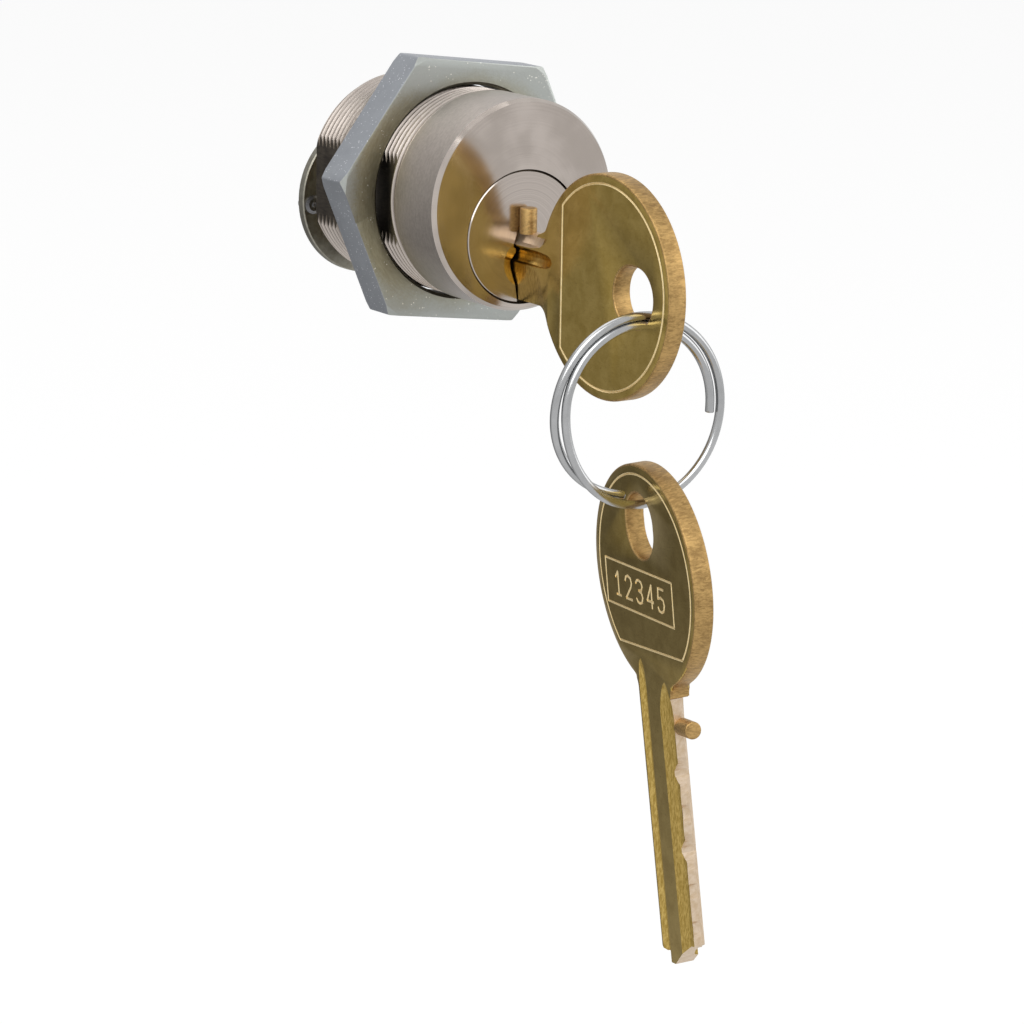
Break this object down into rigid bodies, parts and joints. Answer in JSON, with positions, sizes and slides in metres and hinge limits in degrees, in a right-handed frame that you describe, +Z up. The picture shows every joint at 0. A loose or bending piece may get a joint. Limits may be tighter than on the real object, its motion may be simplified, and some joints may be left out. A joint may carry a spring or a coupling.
{
  "type": "circuit breaker key lock",
  "caption": "Round panel key lock with an off-centre pin tumbler plug, hexagon nut, cam disc with drive pin, and two cut keys on a split ring.",
  "frame": {"origin": "on the barrel's axis, in the plane of the nut's rear face, which is the front surface of the panel", "axes": "+Z up with the key upright, +Y along the barrel from the face into the breaker, +X to the right as seen from the front"},
  "size_m": [0.031, 0.0696, 0.0887],
  "materials": {
    "nickel_barrel": "warm grey nickel plate, turned and satin",
    "nickel_plug": "warm grey nickel plate, turned and polished",
    "zinc_nut": "zinc plate with a clear to faint yellow passivation",
    "zinc_tail": "dull zinc plate",
    "zinc_screw": "zinc plate",
    "hard_steel": "plain hardened steel",
    "spring_steel": "bright spring steel",
    "pin_brass": "turned brass",
    "key_brass": "stamped brass, dull faces and bright cut edges",
    "ring_steel": "nickel plated steel wire"
  },
  "bodies": {
    "lock_body": {"barrel": "nickel_barrel", "chamber_caps": "nickel_barrel", "stop_pin": "hard_steel", "driver_pin_1": "pin_brass", "driver_pin_2": "pin_brass", "driver_pin_3": "pin_brass", "driver_pin_4": "pin_brass", "driver_pin_5": "pin_brass", "pin_spring_1": "spring_steel", "pin_spring_2": "spring_steel", "pin_spring_3": "spring_steel", "pin_spring_4": "spring_steel", "pin_spring_5": "spring_steel"},
    "nut": {"hex_nut": "zinc_nut"},
    "cylinder_plug": {"plug": "nickel_plug", "key_pin_1": "pin_brass", "key_pin_2": "pin_brass", "key_pin_3": "pin_brass", "key_pin_4": "pin_brass", "key_pin_5": "pin_brass", "circlip": "spring_steel", "tail_spacer": "zinc_tail", "cam_disc": "zinc_tail", "drive_pin": "hard_steel", "lock_washer": "spring_steel", "tail_screw": "zinc_screw"},
    "inserted_key": {"key": "key_brass"},
    "key_ring": {"split_ring": "ring_steel"},
    "hanging_key": {"spare_key": "key_brass"}
  },
  "joints": [
    {"name": "plug_turn", "type": "hinge", "parent": "lock_body", "child": "cylinder_plug", "pos_m": [0, 0, -0.00326], "axis": [0, 1, 0], "range_deg": [0, 90]},
    {"name": "key_withdraw", "type": "slide", "parent": "cylinder_plug", "child": "inserted_key", "axis": [0, -1, 0], "range_m": [0, 0.0248], "deforming": ["key_pin_1", "key_pin_2", "key_pin_3", "key_pin_4", "key_pin_5"]},
    {"name": "ring_swing", "type": "hinge", "parent": "inserted_key", "child": "key_ring", "pos_m": [0, -0.03863, -0.00734], "axis": [1, 0, 0], "range_deg": [-30, 25]},
    {"name": "spare_key_swing", "type": "hinge", "parent": "key_ring", "child": "hanging_key", "pos_m": [0.0004, -0.03798, -0.0262], "axis": [1, 0, 0], "range_deg": [-5, 30]},
    {"name": "nut_travel", "type": "slide", "parent": "lock_body", "child": "nut", "axis": [0, 1, 0], "range_m": [-0.0029, 0.01]}
  ]
}
